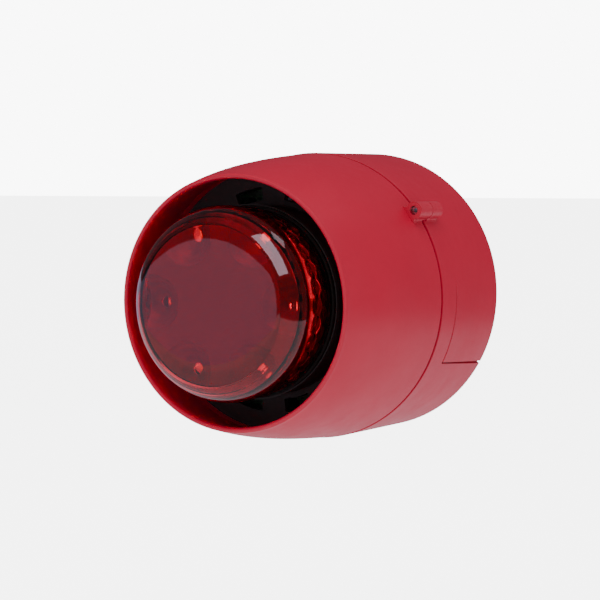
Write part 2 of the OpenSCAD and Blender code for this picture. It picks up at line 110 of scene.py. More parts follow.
# %% [markdown]
# ## Sizes
#
# The object is turned about one axis that runs from the wall (depth 0) to the front. Radii and
# depths are measured from the frame's nodes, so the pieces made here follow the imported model.


# %% Depths and radii from the frame
def depths(node):
    """The depth of a node's back and of its front, measured from the wall."""
    low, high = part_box(node)
    return -high.y, -low.y


def radius(node):
    """Half of a round node's width."""
    low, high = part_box(node)
    return (high.x - low.x) / 2


BASE_R = radius("deep_base")
SPIGOT_TOP = depths("deep_base")[1]
SEAM = SPIGOT_TOP - 9.8 * MM
RIM = depths("sounder_shell")[1]
LENS_FRONT = depths("lens")[1]
LENS_R = radius("lens")
LENS_BACK = depths("lens_seal")[1]
SCREW_LOW, SCREW_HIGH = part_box("locking_screw")
EAR_CENTRE = (SCREW_LOW + SCREW_HIGH) / 2
EAR_ANGLE = math.atan2(EAR_CENTRE.z, EAR_CENTRE.x)
EAR_AT = math.hypot(EAR_CENTRE.x, EAR_CENTRE.z)
print("seam", round(SEAM / MM, 2), "rim", round(RIM / MM, 2), "lens", round(LENS_FRONT / MM, 2))

# %% [markdown]
# ## Making a turned piece
#
# Most of this object is turned, so one function spins a profile of (radius, depth) points
# round the axis. A profile is a closed loop. Each point can also be pushed out or in by a
# function of the angle, which is how the prisms on the lens are made.


# %% Helpers for meshes
def place(r, depth, angle):
    """The point at a radius, a depth and an angle, in the frame's own axes."""
    return Vector((r * math.cos(angle), -depth, r * math.sin(angle)))


def new_object(name, mesh_builder, smooth_angle=35):
    """Turns a finished bmesh into an object with smooth faces and sharp creases."""
    mesh = bpy.data.meshes.new(name)
    bmesh.ops.recalc_face_normals(mesh_builder, faces=mesh_builder.faces)
    mesh_builder.to_mesh(mesh)
    mesh_builder.free()
    mesh.polygons.foreach_set("use_smooth", [True] * len(mesh.polygons))
    mesh.set_sharp_from_angle(angle=math.radians(smooth_angle))
    obj = bpy.data.objects.new(name, mesh)
    bpy.context.collection.objects.link(obj)
    return obj


def turned(name, profile, segments=192, push=None):
    """A closed profile of (radius, depth) spun round the axis; a radius of 0 lies on the axis."""
    bm = bmesh.new()
    rings = []
    for index, (r, depth) in enumerate(profile):
        if r < 1e-7:
            rings.append([bm.verts.new(place(0, depth, 0))])
            continue
        ring = []
        for k in range(segments):
            angle = 2 * math.pi * k / segments
            extra = push(index, r, depth, angle) if push else 0
            ring.append(bm.verts.new(place(r + extra, depth, angle)))
        rings.append(ring)
    for a, b in zip(rings, rings[1:] + rings[:1]):
        for k in range(segments):
            n = (k + 1) % segments
            if len(a) == 1 and len(b) == 1:
                break
            if len(a) == 1:
                bm.faces.new((a[0], b[k], b[n]))
            elif len(b) == 1:
                bm.faces.new((a[k], a[n], b[0]))
            else:
                bm.faces.new((a[k], a[n], b[n], b[k]))
    return new_object(name, bm)


def prism(name, outline, back, front):
    """A flat outline of (x, z) points, stretched from one depth to another."""
    bm = bmesh.new()
    low = [bm.verts.new((x, -back, z)) for x, z in outline]
    high = [bm.verts.new((x, -front, z)) for x, z in outline]
    count = len(outline)
    bm.faces.new(low)
    bm.faces.new(high[::-1])
    for k in range(count):
        n = (k + 1) % count
        bm.faces.new((low[k], high[k], high[n], low[n]))
    return new_object(name, bm)


def arc(r, start, end, count, centre=(0, 0)):
    """Points along an arc, from one angle to another."""
    step = (end - start) / count
    return [(centre[0] + r * math.cos(start + step * k), centre[1] + r * math.sin(start + step * k))
            for k in range(count + 1)]


def arc_band(r_out, r_in, start, end, count=24):
    """The outline of part of a ring."""
    return arc(r_out, start, end, count) + arc(r_in, end, start, count)


def combine(target, others, operation):
    """Cuts other solids from a solid or adds them to it, and removes them."""
    for other in others:
        modifier = target.modifiers.new(operation.lower(), "BOOLEAN")
        modifier.operation = operation
        modifier.solver = "EXACT"
        modifier.object = other
        bpy.context.view_layer.objects.active = target
        bpy.ops.object.modifier_apply(modifier=modifier.name)
        bpy.data.objects.remove(other, do_unlink=True)
    return target


print("helpers ready")

# %% [markdown]
# ## Effects that several materials share
#
# Moulded plastic isn't one flat colour. It has a fine pitted texture from the mould, a slow
# drift in tone, paler worn edges and a little dust on what faces up. Each effect is a node
# group with named inputs, built once; a material places it with its own values.


# %% Node group helpers
def new_group(name, inputs, outputs):
    """A shader node group with float inputs {name: default} and outputs {name: socket type}."""
    group = bpy.data.node_groups.new(name, "ShaderNodeTree")
    for label, default in inputs.items():
        kind = "NodeSocketFloat" if isinstance(default, (int, float)) else "NodeSocketColor"
        socket = group.interface.new_socket(label, in_out="INPUT", socket_type=kind)
        socket.default_value = default
    for label, kind in outputs.items():
        group.interface.new_socket(label, in_out="OUTPUT", socket_type=kind)
    return group, group.nodes.new("NodeGroupInput"), group.nodes.new("NodeGroupOutput")


def math_node(tree, operation, a, b=None, clamp=False):
    """One step of arithmetic; a and b are sockets or plain numbers."""
    node = tree.nodes.new("ShaderNodeMath")
    node.operation = operation
    node.use_clamp = clamp
    for socket, value in zip(node.inputs, (a, b)):
        if value is None:
            continue
        if isinstance(value, (int, float)):
            socket.default_value = value
        else:
            tree.links.new(value, socket)
    return node.outputs[0]


def noise(tree, scale, detail=3.0, roughness=0.5):
    """A noise texture in the object's own coordinates, in metres."""
    node = tree.nodes.new("ShaderNodeTexNoise")
    node.inputs["Detail"].default_value = detail
    node.inputs["Roughness"].default_value = roughness
    position = tree.nodes.new("ShaderNodeTexCoord").outputs["Object"]
    tree.links.new(position, node.inputs["Vector"])
    if isinstance(scale, (int, float)):
        node.inputs["Scale"].default_value = scale
    else:
        tree.links.new(scale, node.inputs["Scale"])
    return node.outputs["Fac"]


def spread(tree, value, low, high, to_low, to_high):
    """Maps a range of values to another, held at its ends."""
    node = tree.nodes.new("ShaderNodeMapRange")
    tree.links.new(value, node.inputs["Value"])
    ends = {"From Min": low, "From Max": high, "To Min": to_low, "To Max": to_high}
    for label, number in ends.items():
        if isinstance(number, (int, float)):
            node.inputs[label].default_value = number
        else:
            tree.links.new(number, node.inputs[label])
    return node.outputs["Result"]


print("node helpers ready")


# %% Group: the pitted texture of a mould
def make_grain_group():
    group, inputs, outputs = new_group(
        "moulded_grain", {"Scale": 3000.0, "Softness": 0.5}, {"Height": "NodeSocketFloat"})
    fine = noise(group, inputs.outputs["Scale"], detail=2.0, roughness=0.6)
    broad = noise(group, math_node(group, "MULTIPLY", inputs.outputs["Scale"], 0.21), detail=1.0)
    weighted = math_node(group, "MULTIPLY", broad, inputs.outputs["Softness"])
    group.links.new(math_node(group, "ADD", fine, weighted), outputs.inputs["Height"])
    return group


GRAIN = make_grain_group()
print("group:", GRAIN.name)


# %% Group: slow drift of tone, with paler worn edges and dust
def make_tone_group():
    group, inputs, outputs = new_group(
        "tone_edge_dust",
        {"Base": (0.5, 0.5, 0.5, 1), "Drift": 0.06, "Edge": 0.15, "Dust": 0.05,
         "Dust Colour": (0.6, 0.57, 0.53, 1)},
        {"Color": "NodeSocketColor", "Worn": "NodeSocketFloat"})
    shade = group.nodes.new("ShaderNodeHueSaturation")
    group.links.new(inputs.outputs["Base"], shade.inputs["Color"])
    cloud = spread(group, noise(group, 34.0, detail=4.0), 0.3, 0.7, -1.0, 1.0)
    value = math_node(group, "MULTIPLY_ADD", cloud, inputs.outputs["Drift"])
    value.node.inputs[2].default_value = 1.0
    group.links.new(value, shade.inputs["Value"])

    geometry = group.nodes.new("ShaderNodeNewGeometry")
    edge = spread(group, geometry.outputs["Pointiness"], 0.53, 0.62, 0.0, 1.0)
    broken = spread(group, noise(group, 900.0, detail=3.0), 0.35, 0.6, 0.3, 1.0)
    worn = math_node(group, "MULTIPLY", math_node(group, "MULTIPLY", edge, broken),
                     inputs.outputs["Edge"], clamp=True)
    pale = group.nodes.new("ShaderNodeMix")
    pale.data_type = "RGBA"
    pale.inputs["B"].default_value = (0.85, 0.75, 0.72, 1)
    group.links.new(worn, pale.inputs["Factor"])
    group.links.new(shade.outputs["Color"], pale.inputs["A"])

    split = group.nodes.new("ShaderNodeSeparateXYZ")
    group.links.new(geometry.outputs["Normal"], split.inputs[0])
    up = spread(group, split.outputs["Z"], 0.3, 1.0, 0.0, 1.0)
    specks = spread(group, noise(group, 2100.0, detail=4.0, roughness=0.7), 0.5, 0.72, 0.0, 1.0)
    settled = math_node(group, "MULTIPLY", math_node(group, "MULTIPLY", up, specks),
                        inputs.outputs["Dust"], clamp=True)
    dusty = group.nodes.new("ShaderNodeMix")
    dusty.data_type = "RGBA"
    group.links.new(settled, dusty.inputs["Factor"])
    group.links.new(pale.outputs["Result"], dusty.inputs["A"])
    group.links.new(inputs.outputs["Dust Colour"], dusty.inputs["B"])
    group.links.new(dusty.outputs["Result"], outputs.inputs["Color"])
    group.links.new(worn, outputs.inputs["Worn"])
    return group


TONE = make_tone_group()
print("group:", TONE.name)


# %% Group: roughness that varies a little, with faint smears
def make_smear_group():
    group, inputs, outputs = new_group(
        "roughness_smears", {"Roughness": 0.4, "Spread": 0.08, "Scale": 60.0},
        {"Roughness": "NodeSocketFloat"})
    texture = noise(group, inputs.outputs["Scale"], detail=5.0, roughness=0.65)
    signed = spread(group, texture, 0.3, 0.7, -1.0, 1.0)
    offset = math_node(group, "MULTIPLY", signed, inputs.outputs["Spread"])
    total = math_node(group, "ADD", offset, inputs.outputs["Roughness"], clamp=True)
    group.links.new(total, outputs.inputs["Roughness"])
    return group


SMEAR = make_smear_group()
print("group:", SMEAR.name)

# %% [markdown]
# ## Materials
#
# One short function places the shared groups round a Principled shader. Numbers that are the
# same all over a surface sit on the shader's own sockets; only what varies is linked.


# %% The common moulded material
def place_group(tree, group, **values):
    """Puts a node group into a material; underscores in names stand for spaces."""
    node = tree.nodes.new("ShaderNodeGroup")
    node.node_tree = group
    for label, value in values.items():
        node.inputs[label.replace("_", " ")].default_value = value
    return node


SMEAR_SPREAD, SMEAR_SCALE = 0.06, 60.0


def moulded(name, colour, roughness, grain=3000.0, bump=0.1, depth=0.00002, drift=0.05, edge=0.12,
            dust=0.04, metallic=0.0, specular=0.5, coat=0.0):
    """A Principled material with tone, smears and grain from the shared groups."""
    material = bpy.data.materials.new(name)
    material.use_nodes = True
    material.diffuse_color = (*colour, 1)
    tree = material.node_tree
    shader = tree.nodes["Principled BSDF"]
    shader.inputs["Metallic"].default_value = metallic
    shader.inputs["Specular IOR Level"].default_value = specular
    shader.inputs["Coat Weight"].default_value = coat
    tone = place_group(tree, TONE, Base=(*colour, 1), Drift=drift, Edge=edge, Dust=dust)
    tree.links.new(tone.outputs["Color"], shader.inputs["Base Color"])
    smear = place_group(tree, SMEAR, Roughness=roughness, Spread=SMEAR_SPREAD, Scale=SMEAR_SCALE)
    tree.links.new(smear.outputs["Roughness"], shader.inputs["Roughness"])
    texture = place_group(tree, GRAIN, Scale=grain, Softness=0.5)
    relief = tree.nodes.new("ShaderNodeBump")
    relief.inputs["Strength"].default_value = bump
    relief.inputs["Distance"].default_value = depth
    tree.links.new(texture.outputs["Height"], relief.inputs["Height"])
    tree.links.new(relief.outputs["Normal"], shader.inputs["Normal"])
    return material


print("moulded() ready")

# %% [markdown]
# The housing is red ABS from a fine-textured mould: a satin surface whose broad, soft
# reflection of a pale table turns its underside pink. The horn is the same kind of plastic in
# black. Rubber is duller, metals are brighter and have a brushed or plated sheen.

# %% Materials of the solid pieces
MATERIALS = {
    "red_abs": moulded("red_housing_abs", (0.43, 0.003, 0.027), 0.40, grain=2600.0, bump=0.28,
                       depth=0.00003, drift=0.035, edge=0.03, dust=0.02, specular=0.40),
    "black_plastic": moulded("black_horn_plastic", (0.045, 0.034, 0.037), 0.6, bump=0.25, dust=0.0,
                             edge=0.0, specular=0.15),
    "grey_plastic": moulded("grey_terminal_plastic", (0.10, 0.105, 0.11), 0.45, bump=0.15),
    "white_plastic": moulded("white_lever_plastic", (0.78, 0.77, 0.73), 0.35, bump=0.08),
    "black_rubber": moulded("black_seal_rubber", (0.010, 0.008, 0.008), 0.8, grain=1800.0,
                            bump=0.3, edge=0.0, dust=0.04, specular=0.15),
    "steel": moulded("zinc_plated_screw_steel", (0.62, 0.63, 0.66), 0.28, grain=1500.0, bump=0.12,
                     metallic=1.0, edge=0.25, dust=0.02),
    "tinned": moulded("tinned_contact_metal", (0.70, 0.69, 0.65), 0.3, metallic=1.0, bump=0.1),
    "spring_brass": moulded("rolled_spring_brass", (0.75, 0.52, 0.22), 0.3, metallic=1.0, bump=0.1),
    "white_ceramic": moulded("silvered_piezo_ceramic", (0.72, 0.70, 0.66), 0.5, bump=0.2),
    "lead_red": moulded("red_lead_sleeve", (0.55, 0.015, 0.015), 0.4, bump=0.05),
    "lead_black": moulded("black_lead_sleeve", (0.014, 0.014, 0.014), 0.4, bump=0.05),
    "can_sleeve": moulded("capacitor_sleeve", (0.015, 0.018, 0.03), 0.3, bump=0.05, coat=0.2),
    "ferrite": moulded("ground_ferrite", (0.045, 0.045, 0.05), 0.55, grain=2000.0, bump=0.4),
    "chip_black": moulded("chip_epoxy", (0.02, 0.02, 0.021), 0.55, grain=4000.0, bump=0.3),
    "switch_red": moulded("red_switch_plastic", (0.45, 0.016, 0.02), 0.4, bump=0.1),
    "light_lens": moulded("phosphor_dome", (0.85, 0.72, 0.22), 0.15, bump=0.02, dust=0.0),
    "reflector_satin": moulded("satin_reflector", (0.38, 0.37, 0.41), 0.36, metallic=0.35,
                               bump=0.05, edge=0.0, dust=0.0),
}
print("materials:", len(MATERIALS))


# %% [markdown]
# A printed board is more than green paint: copper tracks lie under the solder mask and lift
# it a little. A brick pattern in two directions gives a regular maze of tracks, which tints the
# mask and drives the relief, so that the board reads as one even where no part sits on it.


# %% Printed boards
def board_material(name, mask, track):
    material = moulded(name, mask, 0.3, bump=0.0, coat=0.3)
    tree = material.node_tree
    shader = tree.nodes["Principled BSDF"]
    tracks = tree.nodes.new("ShaderNodeTexBrick")
    tracks.inputs["Scale"].default_value = 1.0
    tracks.inputs["Brick Width"].default_value = 0.0065
    tracks.inputs["Row Height"].default_value = 0.0019
    tracks.inputs["Mortar Size"].default_value = 0.00022
    tracks.inputs["Mortar Smooth"].default_value = 0.2
    tracks.inputs["Color1"].default_value = (*mask, 1)
    tracks.inputs["Color2"].default_value = (*[c * 0.9 for c in mask], 1)
    tracks.inputs["Mortar"].default_value = (*track, 1)
    turn = tree.nodes.new("ShaderNodeMapping")
    turn.inputs["Rotation"].default_value = (math.radians(90), 0, 0)
    where = tree.nodes.new("ShaderNodeTexCoord")
    tree.links.new(where.outputs["Object"], turn.inputs["Vector"])
    tree.links.new(turn.outputs["Vector"], tracks.inputs["Vector"])
    tone = next(n for n in tree.nodes if n.type == "GROUP" and n.node_tree == TONE)
    tree.links.new(tracks.outputs["Color"], tone.inputs["Base"])
    relief = next(n for n in tree.nodes if n.type == "BUMP")
    relief.inputs["Strength"].default_value = 0.5
    tree.links.new(tracks.outputs["Fac"], relief.inputs["Height"])
    tree.links.new(relief.outputs["Normal"], shader.inputs["Normal"])
    return material


MATERIALS["board_green"] = board_material("green_board", (0.006, 0.045, 0.02), (0.02, 0.10, 0.04))
MATERIALS["board_white"] = board_material("white_board", (0.66, 0.66, 0.64), (0.75, 0.75, 0.72))
print("boards:", MATERIALS["board_green"].name, MATERIALS["board_white"].name)


# %% [markdown]
# The lens is clear polycarbonate, tinted deep red all through. It is a real solid with two
# walls, so light bends at the prisms and the ribbed shoulder. Fine scuffs vary its roughness;
# Metallic and Transmission Weight stay plain numbers.


# %% Lens material
def lens_material():
    material = bpy.data.materials.new("red_lens_polycarbonate")
    material.use_nodes = True
    material.diffuse_color = (0.5, 0.01, 0.03, 1)
    tree = material.node_tree
    shader = tree.nodes["Principled BSDF"]
    shader.inputs["Base Color"].default_value = (0.55, 0.012, 0.03, 1)
    shader.inputs["IOR"].default_value = 1.58
    shader.inputs["Transmission Weight"].default_value = 1.0
    shader.inputs["Metallic"].default_value = 0.0
    smear = place_group(tree, SMEAR, Roughness=0.02, Spread=0.015, Scale=120.0)
    tree.links.new(smear.outputs["Roughness"], shader.inputs["Roughness"])
    texture = place_group(tree, GRAIN, Scale=300.0, Softness=0.6)
    relief = tree.nodes.new("ShaderNodeBump")
    relief.inputs["Strength"].default_value = 0.02
    relief.inputs["Distance"].default_value = 0.00002
    tree.links.new(texture.outputs["Height"], relief.inputs["Height"])
    tree.links.new(relief.outputs["Normal"], shader.inputs["Normal"])
    return material


MATERIALS["lens_red"] = lens_material()
print("lens material ready")


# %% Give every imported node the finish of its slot
def dress(obj, slot):
    """Puts a slot's material on an object."""
    obj.data.materials.clear()
    obj.data.materials.append(MATERIALS[slot])


SLOT_OF = {row["node"]: row["material_slot"] for row in frame["record"]["subparts"]}
for name, node in nodes.items():
    dress(node, SLOT_OF[name])
print("dressed", len(SLOT_OF), "nodes")


def adopt(piece, body, slot, *replaced):
    """A finished piece rides on its body, takes its slot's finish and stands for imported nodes."""
    dress(piece, slot)
    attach(piece, body)
    if replaced:
        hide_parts(*replaced)
    print(piece.name, "faces:", len(piece.data.polygons))
    return piece


# %% [markdown]
# ## The locking ear
#
# The ear is a short tube that runs along the housing and holds the locking screw. In a mould
# it never meets the wall at a sharp corner: a small concave fillet leads into it on both
# sides. Its outline is worked out with three tangent circles, then stretched along the depth.

# %% Outline of the ear
EAR_R = 2.7 * MM
EAR_FILLET = 0.9 * MM
EAR_SPLIT = SEAM - 1.9 * MM
EAR_FRONT = SEAM + 6.4 * MM
EAR_BACK = SEAM - 9.2 * MM


def ear_outline(wall_r, sink):
    """The ear's outline in (x, z): its own circle, two fillets, and a foot sunk in the wall."""
    far = wall_r + EAR_FILLET
    near = EAR_R + EAR_FILLET
    side = math.acos((far ** 2 + EAR_AT ** 2 - near ** 2) / (2 * far * EAR_AT))
    points = []
    for sign in (-1, 1):
        fillet = (far * math.cos(sign * side), far * math.sin(sign * side))
        to_wall = math.atan2(-fillet[1], -fillet[0])
        to_ear = math.atan2(-fillet[1], EAR_AT - fillet[0])
        turn = (to_ear - to_wall + math.pi) % (2 * math.pi) - math.pi
        bend = arc(EAR_FILLET, to_wall, to_wall + turn, 8, fillet)
        points.append(bend if sign < 0 else bend[::-1])
    start = math.atan2(points[0][-1][1], points[0][-1][0] - EAR_AT)
    crown = arc(EAR_R, start, -start, 24, (EAR_AT, 0))
    foot = math.atan2(points[0][0][1], points[0][0][0])
    inner = arc(wall_r - sink, -foot, foot, 8)
    local = points[0] + crown[1:-1] + points[1] + inner
    c, s = math.cos(EAR_ANGLE), math.sin(EAR_ANGLE)
    return [(x * c - z * s, x * s + z * c) for x, z in local]


print("ear at", round(math.degrees(EAR_ANGLE), 1), "degrees")

# %% [markdown]
# ## The sounder head
#
# The head is a barrel that closes towards its mouth, with a thin rounded lip. The outside
# follows one smooth curve: nearly a cone, with a cubic term that draws it in towards the front.
# The back edge has a small chamfer, which catches the light beside the seam.

# %% The head's profile
HEAD_R = BASE_R - 0.15 * MM
HEAD_WALL = 2.0 * MM
LIP = 0.8 * MM
EDGE = 0.4 * MM
BORE_R = BASE_R - 2.65 * MM
BORE_TOP = SEAM + 11.3 * MM
LEDGE = SEAM + 26.2 * MM
LEDGE_T = 1.2 * MM
LEDGE_IN = 41.3 * MM
SHELL_BACK = SEAM + 0.35 * MM


def head_radius(depth):
    """Outer radius of the head at a depth."""
    t = (depth - SEAM) / MM
    return HEAD_R - (0.068 * t + 2.3e-5 * t ** 3) * MM


def between(a, b, count):
    """Evenly spaced values from a to b."""
    return [a + (b - a) * k / count for k in range(count + 1)]


def head_profile():
    top = RIM - LIP
    middle = head_radius(top) - LIP
    outside = [(head_radius(d), d) for d in between(SHELL_BACK + EDGE, top, 40)]
    lip = [(middle + LIP * math.cos(a), top + LIP * math.sin(a))
           for a in between(math.radians(12), math.radians(168), 12)]
    inside = [(head_radius(d) - HEAD_WALL, d)
              for d in between(top - 1.5 * MM, LEDGE + LEDGE_T + 1.2 * MM, 24)]
    ledge = [(LEDGE_IN, LEDGE + LEDGE_T), (LEDGE_IN, LEDGE)]
    back = [(head_radius(d) - HEAD_WALL, d) for d in between(LEDGE, BORE_TOP, 8)]
    bore = [(BORE_R, BORE_TOP - MM), (BORE_R, SHELL_BACK)]
    chamfer = [(head_radius(SHELL_BACK) - EDGE, SHELL_BACK)]
    return outside + lip + inside + ledge + back + bore + chamfer


# %% Build the head
THIRDS = (90, 210, 330)
LUG_BACK = SEAM + 5 * MM
BOSS_R, BOSS_AT = 2.6 * MM, 38.6 * MM
SCREW_WAY_R = 1.45 * MM


def lug_boxes():
    lugs = []
    for angle in THIRDS:
        a, half = math.radians(angle), math.radians(4)
        outline = arc_band(BORE_R + 0.6 * MM, BORE_R - 1.7 * MM, a - half, a + half, 8)
        lugs.append(prism("lug", outline, LUG_BACK, LUG_BACK + 2 * MM))
    return lugs


def round_bar(name, r, angle, at, back, front, count=48):
    """A plain round bar along the depth, for bosses and for drilling."""
    centre = (at * math.cos(angle), at * math.sin(angle))
    return prism(name, arc(r, 0, 2 * math.pi * (count - 1) / count, count - 1, centre), back, front)


head = turned("head_shell", head_profile(), segments=256)
ear = prism("ear", ear_outline(head_radius(SEAM + 2 * MM), 1.2 * MM), EAR_SPLIT, EAR_FRONT)
clear_r = BASE_R + 0.2 * MM
clear_of_base = [(0, EAR_SPLIT - MM), (clear_r, EAR_SPLIT - MM),
                 (clear_r, SHELL_BACK), (0, SHELL_BACK)]
combine(ear, [turned("clearance", clear_of_base, segments=256)], "DIFFERENCE")
bosses = []
for angle in (60, 180, 300):
    bosses.append(round_bar("boss", BOSS_R, math.radians(angle), BOSS_AT,
                            LEDGE + 0.2 * MM, LEDGE + 5.6 * MM))
combine(head, [ear] + lug_boxes() + bosses, "UNION")
screw_way = round_bar("drill", SCREW_WAY_R, EAR_ANGLE, EAR_AT, EAR_SPLIT - MM, EAR_FRONT + MM)
combine(head, [screw_way], "DIFFERENCE")
head.data.set_sharp_from_angle(angle=math.radians(30))
adopt(head, "head", "red_abs", "sounder_shell")

# %% [markdown]
# ## The deep base
#
# The base is a plain cup against the wall. On its lower right it has a snap-out panel for a
# side cable, outlined by a shallow groove and by a slit that runs to the back edge. Inside are
# four pillars, and its front ends in the spigot with the bayonet slots and the seal's groove.

# %% The base's profile
BASE_DEPTH = SEAM - 0.35 * MM
FLOOR = 2.5 * MM
BASE_EDGE = 0.12 * MM
BACK_ROUND = 0.8 * MM
TIP_BEVEL = 0.5 * MM
CUP_IN = BASE_R - 2.75 * MM
SPIGOT_OUT = BASE_R - 2.95 * MM
SPIGOT_IN = SPIGOT_OUT - 2.5 * MM
RING_DEPTH = SEAM + 1.95 * MM
GROOVE_HALF = 0.95 * MM
GROOVE_R = SPIGOT_OUT - 1.3 * MM
GASKET_IN, GASKET_OUT, GASKET_T = 40.4 * MM, 42.6 * MM, 1.0 * MM


def base_profile():
    back = [(0, 0), (GASKET_IN, 0), (GASKET_IN, GASKET_T), (GASKET_OUT, GASKET_T), (GASKET_OUT, 0)]
    corner = [(BASE_R - BACK_ROUND + BACK_ROUND * math.cos(a),
               BACK_ROUND + BACK_ROUND * math.sin(a))
              for a in between(math.radians(-90), 0, 6)]
    wall = [(BASE_R, d) for d in between(3 * MM, BASE_DEPTH - BASE_EDGE, 12)]
    front = [(BASE_R - BASE_EDGE, BASE_DEPTH), (SPIGOT_OUT, BASE_DEPTH)]
    groove = [(SPIGOT_OUT, RING_DEPTH - GROOVE_HALF), (GROOVE_R, RING_DEPTH - GROOVE_HALF),
              (GROOVE_R, RING_DEPTH + GROOVE_HALF), (SPIGOT_OUT, RING_DEPTH + GROOVE_HALF)]
    tip = [(SPIGOT_OUT, SPIGOT_TOP - TIP_BEVEL), (SPIGOT_OUT - TIP_BEVEL, SPIGOT_TOP),
           (SPIGOT_IN, SPIGOT_TOP)]
    inside = [(SPIGOT_IN, BASE_DEPTH - 4 * MM), (CUP_IN, BASE_DEPTH - 6.5 * MM),
              (CUP_IN, FLOOR), (0, FLOOR)]
    return back + corner + wall + front + groove + tip + inside


# %% Cuts in the base
PANEL_DEPTH = 32 * MM
PANEL_LOW = math.radians(-27)
PANEL_HIGH = math.radians(8)


def bayonet_cuts():
    """A slot for each lug: a leg along the turn, and a way in from the front at its end."""
    cuts = []
    for angle in THIRDS:
        low, high = math.radians(angle - 5), math.radians(angle + 25.8)
        leg = arc_band(BASE_R, SPIGOT_IN - MM, low, high)
        cuts.append(prism("leg", leg, LUG_BACK - 0.3 * MM, LUG_BACK + 2.3 * MM))
        low, high = math.radians(angle + 15), math.radians(angle + 25)
        way_in = arc_band(SPIGOT_OUT + MM, SPIGOT_IN - MM, low, high)
        cuts.append(prism("way_in", way_in, LUG_BACK + MM, SPIGOT_TOP + MM))
    return cuts


def panel_groove():
    """A tapering V groove: deepest at the low end, fading out at the high end."""
    bm = bmesh.new()
    rows = []
    count = 60
    for k in range(count + 1):
        share = k / count
        angle = PANEL_LOW + (PANEL_HIGH - PANEL_LOW) * share
        fade = max(0.0, 1 - share ** 2.2)
        deep = 0.8 * MM * fade + 0.002 * MM
        half = 0.38 * MM * (0.35 + 0.65 * fade)
        outside = BASE_R + 0.3 * MM
        rows.append([bm.verts.new(place(r, d, angle)) for r, d in (
            (outside, PANEL_DEPTH - half * 1.4), (BASE_R - deep, PANEL_DEPTH - half * 0.4),
            (BASE_R - deep, PANEL_DEPTH + half * 0.4), (outside, PANEL_DEPTH + half * 1.4))])
    for a, b in zip(rows, rows[1:]):
        for k in range(4):
            n = (k + 1) % 4
            bm.faces.new((a[k], b[k], b[n], a[n]))
    bm.faces.new(rows[0])
    bm.faces.new(rows[-1][::-1])
    return new_object("panel_groove", bm)


def panel_slit():
    """A slit from the groove's low end to the back edge, a little wider at the back."""
    bm = bmesh.new()
    front, back = PANEL_DEPTH + 0.25 * MM, -MM
    lean = math.radians(-2.9)
    corners = []
    ends = ((front, 0.24 * MM, PANEL_LOW), (back, 0.5 * MM, PANEL_LOW + lean))
    for r in (BASE_R - 1.1 * MM, BASE_R + MM):
        for depth, half, angle in ends:
            for sign in (-1, 1):
                corners.append(bm.verts.new(place(r, depth, angle + sign * half / BASE_R)))
    sides = ((0, 1, 3, 2), (4, 6, 7, 5), (0, 4, 5, 1), (2, 3, 7, 6), (0, 2, 6, 4), (1, 5, 7, 3))
    for face in sides:
        bm.faces.new([corners[k] for k in face])
    return new_object("panel_slit", bm)


# %% Build the base
def slot_cut(x):
    reach, half = 1.8 * MM, 2.2 * MM
    outline = (arc(half, math.radians(-90), math.radians(90), 16, (x + reach, 0))
               + arc(half, math.radians(90), math.radians(270), 16, (x - reach, 0)))
    return prism("slot", outline, -MM, FLOOR + MM)


base = turned("base_cup", base_profile(), segments=256)
PILLARS = [(x * MM, z * MM) for x in (-23, 23) for z in (10, 27)]
PILLAR_R, PILLAR_TOP = 3.5 * MM, 28 * MM
EAR_PILOT_R, EAR_PILOT_DEEP = 1.36 * MM, 6.6 * MM
ENTRY_R = 10.25 * MM
SLOT_X = 30.15 * MM
pillar_bars = []
for x, z in PILLARS:
    pillar_bars.append(round_bar("pillar", PILLAR_R, math.atan2(z, x), math.hypot(x, z),
                                 FLOOR - 0.5 * MM, PILLAR_TOP))
ear_foot = prism("ear_foot", ear_outline(BASE_R, 1.2 * MM), EAR_BACK, EAR_SPLIT - 0.3 * MM)
combine(base, [ear_foot] + pillar_bars, "UNION")
holes = [round_bar("pilot", MM, math.atan2(z, x), math.hypot(x, z), 16 * MM, PILLAR_TOP + MM)
         for x, z in PILLARS]
holes.append(round_bar("screw_hole", EAR_PILOT_R, EAR_ANGLE, EAR_AT,
                       EAR_SPLIT - EAR_PILOT_DEEP, EAR_SPLIT + MM))
entry_low, entry_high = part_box("blanking_plug")
entry_x = (entry_low.x + entry_high.x) / 2
entry_z = (entry_low.z + entry_high.z) / 2
for x in (-entry_x, entry_x):
    holes.append(round_bar("entry", ENTRY_R, math.atan2(entry_z, x), math.hypot(x, entry_z),
                           -MM, FLOOR + MM, 96))
holes += [slot_cut(-SLOT_X), slot_cut(SLOT_X)]
combine(base, holes + bayonet_cuts() + [panel_groove(), panel_slit()], "DIFFERENCE")
base.data.set_sharp_from_angle(angle=math.radians(30))
adopt(base, "base", "red_abs", "deep_base")

# %% [markdown]
# ## The lens
#
# The lens is one clear moulding: a nearly flat, slightly domed face, a round shoulder, and a
# straight skirt that carries two staggered rows of small round prisms. They throw the light
# sideways, and in daylight they glint. They are part of the mesh, because a bump map can't
# bend light that goes through a solid. The lens casts no shadow: that is a shortcut of the
# stage, so that the lights reach what lies behind it.

# %% Lens profile and prisms
SHOULDER_DEPTH = RIM + 3.3 * MM
FACE_DEPTH = LENS_FRONT - 0.7 * MM
SHOULDER_R = 12.8 * MM
SHOULDER_TOP = math.asin((FACE_DEPTH - SHOULDER_DEPTH) / SHOULDER_R)
SHOULDER_MID = LENS_R - SHOULDER_R
FACE_R = SHOULDER_MID + SHOULDER_R * math.cos(SHOULDER_TOP)
LENS_WALL = 2.0 * MM
SKIRT_OUT = LENS_R - 0.8 * MM
SKIRT_IN = SKIRT_OUT - LENS_WALL
FACE_DOME = 0.6 * MM
RIB = 0.12 * MM
SKIRT_RINGS = 30
PRISMS = 32
PRISM_ROWS = (LENS_BACK + 4.2 * MM, LENS_BACK + 9.2 * MM)
PRISM_HALF = 2.75 * MM
PRISM_OUT = 0.6 * MM


